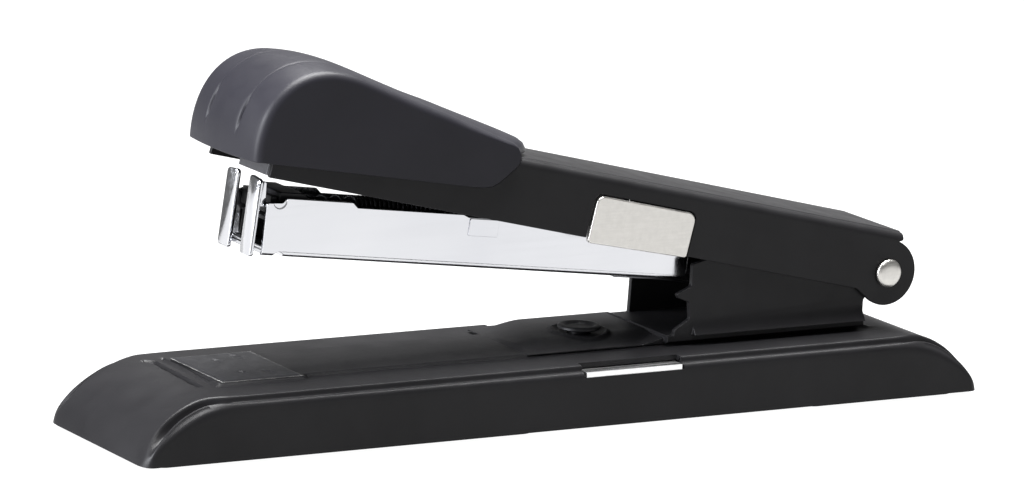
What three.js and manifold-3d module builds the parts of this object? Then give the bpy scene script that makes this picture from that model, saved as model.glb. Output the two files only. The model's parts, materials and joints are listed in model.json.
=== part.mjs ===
// Full-strip desk stapler, built as an assembly. Millimetres, +Z up, nose towards -Y.
// X runs across: +X is the stapler's left side. The origin is the middle of its footprint.
// The magazine and the handle arm are drawn in frames of their own that sit on the hinge pin:
// there, a distance forward of the pin is called s and lies along -Y, and heights are along Z.
import * as THREE from "three";
import { mergeVertices } from "three/addons/utils/BufferGeometryUtils.js";
import Module from "manifold-3d";

const wasm = await Module();
wasm.setup();

// ---- driving dimensions ----
const GAP = 0.3; // clearance left between neighbouring pieces
const FOOT_HEIGHT = 1; // the rubber pads stand this much below the steel base
const PIN = { y: 80.4, z: 25.4 + FOOT_HEIGHT, radius: 2.3, headRadius: 2.9, running: 0.1 };
const BUSH = { inner: 7.45, outer: 10.5, radius: 3.6 };
const MAGAZINE_TILT = 7; // degrees, nose up at rest
const ARM_TILT = 13.15;

const BASE = {
  halfLength: 100,
  halfWidth: 22,
  top: 13,
  endRadius: 20.3,
  shoulderTop: 11.3,
  shoulderInset: 1.4,
  shoulderEndRadius: 18.2,
  shoulderHalfLength: 95.8,
  cornerRadius: 3.5,
  wall: 1.2,
  plateauHalfWidth: 10.4,
  plateauTop: 13.6,
  plateauFront: -78,
  plateauRear: 79,
  rimTop: 1.8,
};
const NOTCH = { front: 1.2, rear: 25.3, inner: 18.4, bottom: 10.2 };
const STIFFENER = { front: 1.8, rear: 78, outer: 19.2, wall: 0.8, bottom: 5, top: 10.9 };
const STIFFENER_TAB = { rear: 24.9, outer: 21.8, bottom: 10.5, top: 11.7 };
const PAD = { halfWidth: 18.8, top: 2.2, outerEnd: 96, frontInner: -8, rearInner: 58 };

const ANVIL = { y: -68.5, halfWidth: 11.6, halfLength: 9.2, bottom: 13.7, top: 14.4 };
const ANVIL_STUD = { radius: 2.2, headRadius: 5, headTop: 7.6, headThickness: 2.4, padHole: 7 };
const CLINCH = { reach: 6.4, y: 3.6, width: 1.8, length: 3.6, offset: 1.6, depth: 0.45 };

const BRACKET = {
  floorBottom: 13.9,
  floorTop: 15.4,
  front: -6,
  rear: 76,
  tongueHalfWidth: 12.6,
  tongueMiddle: -2.2,
  tongueRear: 28,
  outer: 12,
  wall: 1.2,
  wallFront: 32.4,
  earRadius: 6,
};
const FLOOR_RIVETS = { front: 12.5, rear: 66, radius: 2.2, headRadius: 4.6, headHeight: 0.9 };

const SLEEVE = { outer: 8.25, wall: 0.8, bottom: -5.16, top: 6, rear: 47.5, front: 149.4, mouth: 147.6 };
const LINER = {
  outer: 7.15,
  wall: 0.6,
  bottom: SLEEVE.bottom + SLEEVE.wall + GAP,
  top: 5.4,
  front: 151,
  mouth: 148,
  earRadius: 5.2,
};
const FLANGE = { top: 10.5, bottom: -5.5, thickness: 0.8, width: 4.6, returnLength: 2.4 };
const RAIL = { halfWidth: 5.4, wall: 0.8, bottom: -3.1, top: 2.4, rear: 12, front: 147.2 };
const ANCHOR = { rear: 14, front: 24, halfWidth: 6.2, top: 6.8 };
const ROD = { radius: 0.8, height: 5.5, rear: 19.8, front: 145.8 };
const ROD_STOP = { rear: 146.1, front: 147.4, halfWidth: 6.2, bottom: 3.2, top: 6.8 };
const RAIL_RIVETS = { rear: 32, front: 122, radius: 1.6 };
const PUSHER = { rear: 138.6, front: 145.6, halfWidth: 6.25, skirt: 0.55, skirtBottom: -2.6, top: 7.8 };
const COIL = { radius: 1.4, wire: 0.5, turns: 26 };

const ARM = {
  outer: 13.3,
  wall: 1,
  bottom: -4.5,
  top: 9.1,
  bend: 2.4,
  rear: -1.3,
  front: 152,
  topFront: 126,
  lobeRadius: 7.1,
};
const WINDOW = { rear: 50.6, front: 76.2, top: 4.9 };
const SIDE_PLATE = { rear: 51.2, front: 75.6, bottom: -5, top: 4.4, inner: 12.6, outer: 13.5 };
const CAP = { outer: 14.6, inner: 13.6 };
const BLADE = { innerRadius: 148.8, outerRadius: 149.6, halfWidth: 6, tip: -5, top: 12.2 };
const HOLDER = { front: 148.1, thickness: 1.5, halfWidth: 11.6, bottom: 7.6, top: 12.2 };
const HOLDER_LUG = { inner: 10.4, outer: 12, bottom: -1, top: 8.2, length: 5 };
const BLADE_RIVETS = { x: 3.2, height: 10, radius: 1, headRadius: 1.9, headHeight: 0.8 };
const CLIP = { rear: 27, front: 34, halfWidth: 6, floor: 6.6, thickness: 0.6, slotHalfWidth: 4.4 };

// ---- materials ----
const paint = new THREE.MeshStandardMaterial({ color: 0x1c1c1f, roughness: 0.42, metalness: 0.1 });
const plastic = new THREE.MeshStandardMaterial({ color: 0x2b2a30, roughness: 0.5, metalness: 0 });
const chrome = new THREE.MeshStandardMaterial({ color: 0xd8d9de, roughness: 0.12, metalness: 1 });
const nickel = new THREE.MeshStandardMaterial({ color: 0xc4bfb6, roughness: 0.35, metalness: 1 });
const blackened = new THREE.MeshStandardMaterial({ color: 0x141414, roughness: 0.4, metalness: 0.6 });
const springSteel = new THREE.MeshStandardMaterial({ color: 0x8d8f94, roughness: 0.3, metalness: 1 });
const rubber = new THREE.MeshStandardMaterial({ color: 0x121212, roughness: 0.9, metalness: 0 });

// ---- solids ----
function solidOf(geometry) {
  const bare = geometry.index ? geometry.toNonIndexed() : geometry.clone();
  bare.deleteAttribute("normal");
  bare.deleteAttribute("uv");
  const merged = mergeVertices(bare, 1e-4);
  return new wasm.Manifold(
    new wasm.Mesh({
      numProp: 3,
      vertProperties: new Float32Array(merged.attributes.position.array),
      triVerts: new Uint32Array(merged.index.array),
    }),
  );
}

function geometryOf(solid) {
  const mesh = solid.getMesh();
  const geometry = new THREE.BufferGeometry();
  geometry.setAttribute("position", new THREE.BufferAttribute(mesh.vertProperties, 3));
  geometry.setIndex(new THREE.BufferAttribute(mesh.triVerts, 1));
  geometry.computeVertexNormals();
  return geometry;
}

const join = (first, ...others) => others.reduce((whole, piece) => whole.add(piece), first);
const cut = (first, ...others) => others.reduce((whole, piece) => whole.subtract(piece), first);

function outline(points) {
  return new THREE.Shape(points.map(([u, v]) => new THREE.Vector2(u, v)));
}

const ACROSS = new THREE.Matrix4().makeBasis(
  new THREE.Vector3(0, 1, 0),
  new THREE.Vector3(0, 0, 1),
  new THREE.Vector3(1, 0, 0),
);
const FORWARD = new THREE.Matrix4().makeBasis(
  new THREE.Vector3(1, 0, 0),
  new THREE.Vector3(0, 0, 1),
  new THREE.Vector3(0, -1, 0),
);

// A side view, given as (y, z), made solid from one x to another.
function slab(shape, fromX, toX, curveSegments = 16) {
  const options = { depth: toX - fromX, bevelEnabled: false, curveSegments };
  const geometry = new THREE.ExtrudeGeometry(shape, options).applyMatrix4(ACROSS);
  return solidOf(geometry.translate(fromX, 0, 0));
}

// A cross-section, given as (x, z), made solid from one distance s forward to another.
function beam(shape, fromS, toS, curveSegments = 8) {
  const options = { depth: toS - fromS, bevelEnabled: false, curveSegments };
  const geometry = new THREE.ExtrudeGeometry(shape, options).applyMatrix4(FORWARD);
  return solidOf(geometry.translate(0, -fromS, 0));
}

// A plan view, given as (x, y), made solid from one height to another.
function plate(shape, fromZ, toZ, curveSegments = 8) {
  const options = { depth: toZ - fromZ, bevelEnabled: false, curveSegments };
  return solidOf(new THREE.ExtrudeGeometry(shape, options).translate(0, 0, fromZ));
}

function box(x0, x1, y0, y1, z0, z1) {
  const geometry = new THREE.BoxGeometry(x1 - x0, y1 - y0, z1 - z0);
  return solidOf(geometry.translate((x0 + x1) / 2, (y0 + y1) / 2, (z0 + z1) / 2));
}

// A cylinder along X about a point of the side view.
function crossPin(radius, fromX, toX, y = 0, z = 0, segments = 32) {
  const geometry = new THREE.CylinderGeometry(radius, radius, toX - fromX, segments);
  return solidOf(geometry.rotateZ(Math.PI / 2).translate((fromX + toX) / 2, y, z));
}

function upright(radius, fromZ, toZ, x = 0, y = 0, segments = 32) {
  const geometry = new THREE.CylinderGeometry(radius, radius, toZ - fromZ, segments);
  return solidOf(geometry.rotateX(Math.PI / 2).translate(x, y, (fromZ + toZ) / 2));
}

function roundedPlan(halfX, y0, y1, radius, middleX = 0) {
  const left = middleX + halfX - radius;
  const right = middleX - halfX + radius;
  const shape = new THREE.Shape();
  shape.absarc(left, y1 - radius, radius, 0, Math.PI / 2);
  shape.absarc(right, y1 - radius, radius, Math.PI / 2, Math.PI);
  shape.absarc(right, y0 + radius, radius, Math.PI, 1.5 * Math.PI);
  shape.absarc(left, y0 + radius, radius, 1.5 * Math.PI, 2 * Math.PI);
  return shape;
}

// Adds a named piece, moved to its place in the group if it was drawn about its own middle.
function add(group, name, solid, material, place = [0, 0, 0]) {
  const mesh = new THREE.Mesh(geometryOf(solid), material);
  mesh.name = name;
  mesh.position.set(...place);
  group.add(mesh);
  return mesh;
}

function onPin(tilt) {
  const group = new THREE.Group();
  group.position.set(0, PIN.y, PIN.z);
  group.rotation.x = THREE.MathUtils.degToRad(-tilt);
  return group;
}

// A helix about the Y axis that runs forward from one distance s to another.
class Helix extends THREE.Curve {
  constructor(radius, from, to, turns) {
    super();
    Object.assign(this, { radius, from, to, turns });
  }
  getPoint(t, target = new THREE.Vector3()) {
    const angle = 2 * Math.PI * this.turns * t;
    const s = THREE.MathUtils.lerp(this.from, this.to, t);
    return target.set(this.radius * Math.cos(angle), -s, this.radius * Math.sin(angle));
  }
}

function coilSolid(helix, wireDiameter) {
  const wire = new THREE.Shape();
  wire.absarc(0, 0, wireDiameter / 2, 0, 2 * Math.PI);
  const options = { steps: helix.turns * 10, curveSegments: 3, extrudePath: helix, bevelEnabled: false };
  return solidOf(new THREE.ExtrudeGeometry(wire, options));
}

// ---- base ----
// Side view of a body with a flat top whose two ends fall away in round arcs to the floor.
function archedOutline(halfLength, top, radius, floor) {
  const drop = radius - top;
  const flatEnd = halfLength - Math.sqrt(radius * radius - drop * drop);
  const reach = Math.sqrt(radius * radius - (drop + floor) ** 2);
  const low = Math.asin((drop + floor) / radius) * -1;
  const shape = new THREE.Shape();
  shape.moveTo(-flatEnd - reach, floor);
  shape.lineTo(flatEnd + reach, floor);
  shape.absarc(flatEnd, top - radius, radius, -low, Math.PI / 2);
  shape.absarc(-flatEnd, top - radius, radius, Math.PI / 2, Math.PI + low);
  return shape;
}

function makeBase(group) {
  const plateau = box(
    -BASE.plateauHalfWidth,
    BASE.plateauHalfWidth,
    BASE.plateauFront,
    BASE.plateauRear,
    BASE.top - BASE.wall,
    BASE.plateauTop,
  );
  const inset = BASE.halfWidth - BASE.shoulderInset;
  const outside = join(
    slab(archedOutline(BASE.halfLength, BASE.top, BASE.endRadius, 0), -inset, inset),
    slab(
      archedOutline(BASE.shoulderHalfLength, BASE.shoulderTop, BASE.shoulderEndRadius, 0),
      -BASE.halfWidth,
      BASE.halfWidth,
    ),
    slab(archedOutline(BASE.halfLength, BASE.top, BASE.endRadius, 0), -BASE.halfWidth, BASE.halfWidth)
      .intersect(box(-40, 40, -BASE.halfLength, BASE.halfLength, -1, BASE.rimTop)),
    plateau,
  );
  const plan = roundedPlan(BASE.halfWidth, -BASE.halfLength, BASE.halfLength, BASE.cornerRadius);
  const rounded = outside.intersect(plate(plan, -1, BASE.plateauTop + 1));
  const hollow = join(
    slab(
      archedOutline(BASE.halfLength - BASE.wall, BASE.top - BASE.wall, BASE.endRadius - BASE.wall, 0),
      -(inset - BASE.wall),
      inset - BASE.wall,
    ),
    slab(
      archedOutline(
        BASE.shoulderHalfLength - BASE.wall,
        BASE.shoulderTop - BASE.wall,
        BASE.shoulderEndRadius - BASE.wall,
        0,
      ),
      -(BASE.halfWidth - BASE.wall),
      BASE.halfWidth - BASE.wall,
    ),
    box(-inset + BASE.wall, inset - BASE.wall, 4 - BASE.halfLength, BASE.halfLength - 4, -1, 1),
  );
  const notchDepth = BASE.halfWidth + 1 - NOTCH.inner;
  const notches = [NOTCH.inner, -NOTCH.inner - notchDepth].map((x0) =>
    box(x0, x0 + notchDepth, NOTCH.front, NOTCH.rear, NOTCH.bottom, BASE.top + 1),
  );
  const holes = [
    upright(FLOOR_RIVETS.radius + GAP, 5, 20, 0, FLOOR_RIVETS.front),
    upright(FLOOR_RIVETS.radius + GAP, 5, 20, 0, FLOOR_RIVETS.rear),
    upright(ANVIL_STUD.radius + GAP, 5, 20, 0, ANVIL.y),
  ];
  add(group, "base_shell", cut(rounded, hollow, ...notches, ...holes), paint);
  const padFloor = -FOOT_HEIGHT;
  const frontPad = roundedPlan(PAD.halfWidth, -PAD.outerEnd, PAD.frontInner, 3);
  const rearPad = roundedPlan(PAD.halfWidth, PAD.rearInner, PAD.outerEnd, 3);
  const buttonHole = upright(ANVIL_STUD.padHole, -5, 10, 0, ANVIL.y);
  add(group, "front_rubber_pad", cut(plate(frontPad, padFloor, PAD.top), buttonHole), rubber);
  add(group, "rear_rubber_pad", plate(rearPad, padFloor, PAD.top), rubber);
}

// A channel inside the base that the bracket is riveted to. Its plated tabs fill the notches.
function makeStiffener(group) {
  const { outer, wall, bottom, top, front, rear } = STIFFENER;
  const tabs = box(
    -STIFFENER_TAB.outer,
    STIFFENER_TAB.outer,
    front,
    STIFFENER_TAB.rear,
    STIFFENER_TAB.bottom,
    STIFFENER_TAB.top,
  );
  const betweenTabs = box(
    -NOTCH.inner - GAP,
    NOTCH.inner + GAP,
    front - 1,
    STIFFENER_TAB.rear + 1,
    top,
    STIFFENER_TAB.top + 1,
  );
  const channel = cut(
    join(box(-outer, outer, front, rear, bottom, top), tabs),
    betweenTabs,
    box(wall - outer, outer - wall, front - 1, rear + 1, bottom - 1, top - wall),
    upright(FLOOR_RIVETS.radius + GAP, bottom, top + 1, 0, FLOOR_RIVETS.front),
    upright(FLOOR_RIVETS.radius + GAP, bottom, top + 1, 0, FLOOR_RIVETS.rear),
  );
  add(group, "base_stiffener", channel, nickel);
}

// The anvil turns end for end: one pair of pockets bends the legs inwards, the other outwards.
function makeAnvil(group) {
  const plan = roundedPlan(ANVIL.halfWidth, -ANVIL.halfLength, ANVIL.halfLength, 2);
  const pockets = [];
  for (const end of [-1, 1]) {
    for (const side of [-1, 1]) {
      const x = side * (end > 0 ? CLINCH.reach - CLINCH.offset : CLINCH.reach);
      const [y0, y1] = [end * CLINCH.y - CLINCH.width / 2, end * CLINCH.y + CLINCH.width / 2];
      const pocket = roundedPlan(CLINCH.length / 2, y0, y1, 0.8, x);
      pockets.push(plate(pocket, ANVIL.top - CLINCH.depth, ANVIL.top + 1));
    }
  }
  const body = cut(
    plate(plan, ANVIL.bottom, ANVIL.top),
    ...pockets,
    upright(ANVIL_STUD.radius + GAP, ANVIL.bottom - 1, ANVIL.top + 1),
  );
  const place = [0, ANVIL.y, 0];
  add(group, "anvil_plate", body, blackened, place);
  const headBottom = ANVIL_STUD.headTop - ANVIL_STUD.headThickness;
  const stud = join(
    upright(ANVIL_STUD.radius, headBottom, ANVIL.top - 0.2),
    upright(ANVIL_STUD.headRadius, headBottom, ANVIL_STUD.headTop),
  );
  add(group, "anvil_stud", stud, nickel, place);
  const coil = new Helix(3.2, ANVIL_STUD.headTop + 0.7, BASE.top - BASE.wall - 0.7, 3);
  const spring = add(group, "anvil_spring", coilSolid(coil, 0.6), springSteel, place);
  spring.rotation.x = -Math.PI / 2;
}

// ---- hinge bracket ----
function makeBracket(group) {
  const inner = BRACKET.outer - BRACKET.wall;
  const tongue = roundedPlan(
    BRACKET.tongueHalfWidth,
    BRACKET.front,
    BRACKET.tongueRear,
    2.5,
    BRACKET.tongueMiddle,
  );
  const floor = join(
    plate(tongue, BRACKET.floorBottom, BRACKET.floorTop),
    box(
      -BRACKET.outer,
      BRACKET.outer,
      BRACKET.tongueRear - 4,
      BRACKET.rear,
      BRACKET.floorBottom,
      BRACKET.floorTop,
    ),
  );
  const pinHeight = PIN.z - FOOT_HEIGHT;
  const front = BRACKET.wallFront;
  const side = new THREE.Shape();
  side.moveTo(front - 4, BRACKET.floorBottom);
  side.lineTo(BRACKET.rear, BRACKET.floorBottom);
  side.lineTo(BRACKET.rear, pinHeight - 5);
  side.absarc(PIN.y, pinHeight, BRACKET.earRadius, -Math.PI / 3, Math.PI * 0.6);
  side.lineTo(front + 3, 31.1);
  side.lineTo(front, 30.6);
  side.lineTo(front, 25.4);
  side.lineTo(front - 3.2, 24);
  side.lineTo(front - 0.4, 22.4);
  side.lineTo(front - 0.4, 18.8);
  side.lineTo(front - 4, 16.6);
  const walls = [
    slab(side, inner, BRACKET.outer, 12),
    slab(side, -BRACKET.outer, -inner, 12),
  ];
  const body = cut(
    join(floor, ...walls),
    crossPin(PIN.radius + PIN.running, -20, 20, PIN.y, pinHeight),
    upright(FLOOR_RIVETS.radius + GAP, 10, 20, 0, FLOOR_RIVETS.front),
    upright(FLOOR_RIVETS.radius + GAP, 10, 20, 0, FLOOR_RIVETS.rear),
  );
  add(group, "hinge_bracket", body, paint);
  const headFloor = BRACKET.floorTop + GAP;
  const underside = STIFFENER.top - STIFFENER.wall - GAP;
  for (const [name, y] of [
    ["bracket_rivet_front", FLOOR_RIVETS.front],
    ["bracket_rivet_rear", FLOOR_RIVETS.rear],
  ]) {
    const rivet = join(
      upright(FLOOR_RIVETS.radius, underside - 1, headFloor + 0.1),
      upright(FLOOR_RIVETS.headRadius, headFloor, headFloor + FLOOR_RIVETS.headHeight),
      upright(FLOOR_RIVETS.headRadius - 0.8, underside - FLOOR_RIVETS.headHeight, underside),
    );
    const dished = cut(rivet, upright(2.6, headFloor + 0.4, headFloor + 3));
    add(group, name, dished, blackened, [0, y, 0]);
  }
}

// A leaf spring: a strip that follows a smooth curve through side-view points.
function leaf(points, halfWidth, thickness) {
  const curve = new THREE.SplineCurve(points.map(([y, z]) => new THREE.Vector2(y, z)));
  const steps = 20;
  const upper = [];
  const lower = [];
  for (let i = 0; i <= steps; i++) {
    const at = curve.getPoint(i / steps);
    const along = curve.getTangent(i / steps);
    upper.push([at.x - (along.y * thickness) / 2, at.y + (along.x * thickness) / 2]);
    lower.push([at.x + (along.y * thickness) / 2, at.y - (along.x * thickness) / 2]);
  }
  return slab(outline([...lower, ...upper.reverse()]), -halfWidth, halfWidth);
}

// ---- hinge pin ----
function makeHingePin(group) {
  const headInner = ARM.outer + GAP;
  const shank = crossPin(PIN.radius, -headInner - 0.1, headInner + 0.1);
  const heads = [-1, 1].map((side) => {
    const dome = new THREE.LatheGeometry(
      [
        new THREE.Vector2(0, 0),
        new THREE.Vector2(PIN.headRadius, 0),
        new THREE.Vector2(PIN.headRadius, 0.5),
        new THREE.Vector2(PIN.headRadius * 0.72, 0.95),
        new THREE.Vector2(0, 1.1),
      ],
      32,
    );
    return solidOf(dome.rotateZ((-side * Math.PI) / 2).translate(side * headInner, 0, 0));
  });
  const place = [0, PIN.y, PIN.z - FOOT_HEIGHT];
  add(group, "hinge_pin", join(shank, ...heads), nickel, place);
  for (const [name, fromX] of [
    ["pivot_bush_left", BUSH.inner],
    ["pivot_bush_right", -BUSH.outer],
  ]) {
    const toX = fromX + BUSH.outer - BUSH.inner;
    const bush = cut(
      crossPin(BUSH.radius, fromX, toX),
      crossPin(PIN.radius + PIN.running, fromX - 1, toX + 1),
    );
    add(group, name, bush, nickel, place);
  }
}

// ---- magazine ----
function uSection(outer, wall, bottom, top) {
  return outline([
    [-outer, bottom],
    [outer, bottom],
    [outer, top],
    [outer - wall, top],
    [outer - wall, bottom + wall],
    [-outer + wall, bottom + wall],
    [-outer + wall, top],
    [-outer, top],
  ]);
}

function makeSleeve(group) {
  const section = uSection(SLEEVE.outer, SLEEVE.wall, SLEEVE.bottom, SLEEVE.top);
  const tabInner = SLEEVE.outer - 1.1;
  const tabs = [-1, 1].map((side) => {
    const [x0, x1] = side > 0 ? [tabInner, SLEEVE.outer] : [-SLEEVE.outer, -tabInner];
    return box(x0, x1, -137, -126, SLEEVE.top - 0.1, SLEEVE.top + 0.9);
  });
  const body = cut(
    join(beam(section, SLEEVE.rear, SLEEVE.front), ...tabs),
    box(-SLEEVE.outer + SLEEVE.wall, SLEEVE.outer - SLEEVE.wall, -160, -SLEEVE.mouth, -10, 10),
    crossPin(1.1, -20, 20, -146.5, SLEEVE.bottom, 16),
  );
  add(group, "magazine_sleeve", body, chrome);
}

function makeLiner(group) {
  const inner = LINER.outer - LINER.wall;
  const section = uSection(LINER.outer, LINER.wall, LINER.bottom, LINER.top);
  const channel = cut(
    beam(section, 8, LINER.front - FLANGE.returnLength),
    box(-inner, inner, -160, -LINER.mouth, -10, 10),
  );
  const pieces = [];
  for (const side of [-1, 1]) {
    const [x0, x1] = side > 0 ? [inner, LINER.outer] : [-LINER.outer, -inner];
    const ear = new THREE.Shape();
    ear.moveTo(-9, LINER.bottom);
    ear.lineTo(-3, -LINER.earRadius + 0.9);
    ear.absarc(0, 0, LINER.earRadius, -Math.PI * 0.6, Math.PI * 0.6);
    ear.lineTo(-9, LINER.top);
    pieces.push(slab(ear, x0, x1, 12));
    pieces.push(
      box(x0, x1, -LINER.front, FLANGE.returnLength - LINER.front + 0.2, FLANGE.bottom, FLANGE.top),
    );
    const faceMiddle = side * (LINER.outer - FLANGE.width / 2);
    pieces.push(
      box(
        faceMiddle - FLANGE.width / 2,
        faceMiddle + FLANGE.width / 2,
        -LINER.front,
        FLANGE.thickness - LINER.front,
        FLANGE.bottom,
        FLANGE.top,
      ),
    );
  }
  const body = cut(join(channel, ...pieces), crossPin(PIN.radius + PIN.running, -20, 20));
  add(group, "staple_channel", body, chrome);
}

function makeRail(group) {
  const { halfWidth, wall, bottom, top } = RAIL;
  const section = outline([
    [-halfWidth, bottom],
    [-halfWidth + wall, bottom],
    [-halfWidth + wall, top - wall],
    [halfWidth - wall, top - wall],
    [halfWidth - wall, bottom],
    [halfWidth, bottom],
    [halfWidth, top],
    [-halfWidth, top],
  ]);
  add(group, "core_rail", beam(section, RAIL.rear, RAIL.front), blackened);
  const anchor = cut(
    box(
      -ANCHOR.halfWidth,
      ANCHOR.halfWidth,
      -ANCHOR.front,
      -ANCHOR.rear,
      RAIL.top + GAP,
      ANCHOR.top,
    ),
    rodSolid(ROD.radius + GAP, ROD.rear - 0.4, 30),
  );
  add(group, "spring_anchor", anchor, blackened);
  add(group, "pusher_rod", rodSolid(ROD.radius, ROD.rear, ROD.front), blackened);
  const stop = box(
    -ROD_STOP.halfWidth,
    ROD_STOP.halfWidth,
    -ROD_STOP.front,
    -ROD_STOP.rear,
    ROD_STOP.bottom,
    ROD_STOP.top,
  );
  add(group, "rod_front_stop", stop, blackened);
  const floor = LINER.bottom + LINER.wall + GAP;
  for (const place of ["rear", "front"]) {
    const rivet = upright(RAIL_RIVETS.radius, floor, top - wall - GAP, 0, -RAIL_RIVETS[place], 20);
    add(group, `rail_rivet_${place}`, rivet, nickel);
  }
}

function rodSolid(radius, fromS, toS, segments = 16) {
  const geometry = new THREE.CylinderGeometry(radius, radius, toS - fromS, segments);
  return solidOf(geometry.translate(0, -(fromS + toS) / 2, ROD.height));
}

function makePusher(group) {
  const side = outline([
    [-PUSHER.front, PUSHER.skirtBottom],
    [-PUSHER.rear, PUSHER.skirtBottom],
    [-PUSHER.rear, PUSHER.top - 1],
    [-PUSHER.rear - 1.4, PUSHER.top],
    [-PUSHER.front, PUSHER.top],
  ]);
  const railRoom = PUSHER.halfWidth - PUSHER.skirt;
  const body = cut(
    slab(side, -PUSHER.halfWidth, PUSHER.halfWidth),
    box(-railRoom, railRoom, -160, -130, -10, RAIL.top + GAP),
    rodSolid(ROD.radius + GAP, 130, 160),
  );
  add(group, "pusher", body, blackened);
}

function makePusherSpring(group) {
  const helix = new Helix(COIL.radius, ANCHOR.front + 0.8, PUSHER.rear - 0.8, COIL.turns);
  add(group, "pusher_spring", coilSolid(helix, COIL.wire), springSteel, [0, 0, ROD.height]);
}

// A leaf under the magazine, whose free end stands on the bracket's floor near the pin.
function makeLiftSpring(group) {
  const under = SLEEVE.bottom - GAP - 0.3;
  const path = [
    [-62, under],
    [-50, under],
    [-41, under - 1],
    [-31, under - 4.2],
    [-24, under - 6.1],
    [-19.5, under - 5.9],
  ];
  add(group, "magazine_lift_spring", leaf(path, 4, 0.5), springSteel);
}

// ---- arm ----
function makeArm(group) {
  const { outer, wall, bottom, top, bend } = ARM;
  const section = new THREE.Shape();
  section.moveTo(-outer, bottom);
  section.lineTo(-outer + wall, bottom);
  section.lineTo(-outer + wall, top - bend);
  section.absarc(-outer + bend, top - bend, bend - wall, Math.PI, Math.PI / 2, true);
  section.absarc(outer - bend, top - bend, bend - wall, Math.PI / 2, 0, true);
  section.lineTo(outer - wall, bottom);
  section.lineTo(outer, bottom);
  section.absarc(outer - bend, top - bend, bend, 0, Math.PI / 2);
  section.absarc(-outer + bend, top - bend, bend, Math.PI / 2, Math.PI);
  const lobes = [-1, 1].map((side) => {
    const [x0, x1] = side > 0 ? [outer - wall, outer] : [-outer, -outer + wall];
    return crossPin(ARM.lobeRadius, x0, x1, 0, 0, 48);
  });
  const cornerCut = outline([
    [-ARM.front - 1, bottom - 1],
    [-ARM.front + 3.2, bottom - 1],
    [-ARM.front - 1, bottom + 1.8],
  ]);
  const inside = outer - wall;
  const body = cut(
    join(beam(section, ARM.rear, ARM.front), ...lobes),
    box(-inside, inside, -160, -ARM.topFront, bottom - 1, top + 1),
    box(-20, 20, -160, -ARM.topFront, top - bend - 0.6, top + 1),
    box(-20, 20, -WINDOW.front, -WINDOW.rear, bottom - 1, WINDOW.top),
    slab(cornerCut, -20, 20),
    crossPin(PIN.radius + PIN.running, -20, 20),
  );
  add(group, "arm", body, paint);
  add(group, "side_plate_left", sidePlate(1), nickel);
  add(group, "side_plate_right", sidePlate(-1), nickel);
}

function sidePlate(side) {
  const { rear, front, bottom, top, inner, outer } = SIDE_PLATE;
  const chamfer = 1.4;
  const shape = outline([
    [-front, bottom],
    [-rear, bottom],
    [-rear, top - chamfer],
    [-rear - chamfer, top],
    [-front + chamfer, top],
    [-front, top - chamfer],
  ]);
  return side > 0 ? slab(shape, inner, outer) : slab(shape, -outer, -inner);
}

// ---- head cap ----
function capOutline(inset) {
  const shape = new THREE.Shape();
  const front = 157.4 - inset;
  const low = inset > 0 ? -8 : -1.8;
  shape.moveTo(-front, low);
  shape.lineTo(-front - 0.6, 4);
  shape.bezierCurveTo(-front - 0.6, 13, -(152 - inset), 18.3 - inset, -143, 18.3 - inset);
  if (inset > 0) {
    shape.lineTo(-112, ARM.top + GAP + 0.6);
    shape.lineTo(-90, ARM.top + GAP);
    shape.lineTo(-90, low);
    return shape;
  }
  shape.lineTo(-99.4, 11.5);
  shape.quadraticCurveTo(-96.6, 11, -96.8, 8.4);
  shape.lineTo(-100.6, 3.4);
  shape.quadraticCurveTo(-102.2, 1.4, -105, 1.5);
  shape.lineTo(-152.4, -2.3);
  return shape;
}

function makeCap(group) {
  const body = cut(
    slab(capOutline(0), -CAP.outer, CAP.outer, 20),
    slab(capOutline(1.4), -CAP.inner, CAP.inner, 20),
  );
  add(group, "head_cap", body, plastic);
}

// The blade is bowed about the hinge pin, so it slides through the nose without swinging out.
function makeDriver(group) {
  const { innerRadius, outerRadius, tip, top, halfWidth } = BLADE;
  const arc = [];
  const steps = 6;
  for (const [radius, order] of [
    [outerRadius, 1],
    [innerRadius, -1],
  ]) {
    for (let i = 0; i <= steps; i++) {
      const share = order > 0 ? i / steps : 1 - i / steps;
      const height = THREE.MathUtils.lerp(tip, top, share);
      arc.push([-Math.sqrt(radius * radius - height * height), height]);
    }
  }
  const { x: rivetX, height, radius: rivetRadius } = BLADE_RIVETS;
  const holes = [rivetX, -rivetX].map((x) => alongArm(rivetRadius + GAP, 140, 160, x, height));
  const blade = slab(outline(arc.reverse()), -halfWidth, halfWidth);
  add(group, "driver_blade", cut(blade, ...holes), springSteel);
  const back = HOLDER.front - HOLDER.thickness;
  const lugs = [HOLDER_LUG.inner, -HOLDER_LUG.outer].map((x0) =>
    box(
      x0,
      x0 + HOLDER_LUG.outer - HOLDER_LUG.inner,
      -HOLDER.front,
      HOLDER_LUG.length - HOLDER.front,
      HOLDER_LUG.bottom,
      HOLDER_LUG.top,
    ),
  );
  const holder = join(
    box(-HOLDER.halfWidth, HOLDER.halfWidth, -HOLDER.front, -back, HOLDER.bottom, HOLDER.top),
    ...lugs,
  );
  add(group, "driver_holder", cut(holder, ...holes), blackened);
  const shankEnd = Math.sqrt(outerRadius ** 2 - height ** 2) - 0.1;
  for (const [name, x] of [
    ["driver_rivet_left", rivetX],
    ["driver_rivet_right", -rivetX],
  ]) {
    const headEnd = back - GAP;
    const rivet = join(
      alongArm(rivetRadius, headEnd - 0.1, shankEnd, x, height),
      alongArm(BLADE_RIVETS.headRadius, headEnd - BLADE_RIVETS.headHeight, headEnd, x, height),
    );
    add(group, name, rivet, springSteel);
  }
}

function alongArm(radius, fromS, toS, x, z) {
  const geometry = new THREE.CylinderGeometry(radius, radius, toS - fromS, 16);
  return solidOf(geometry.translate(x, -(fromS + toS) / 2, z));
}

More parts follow.
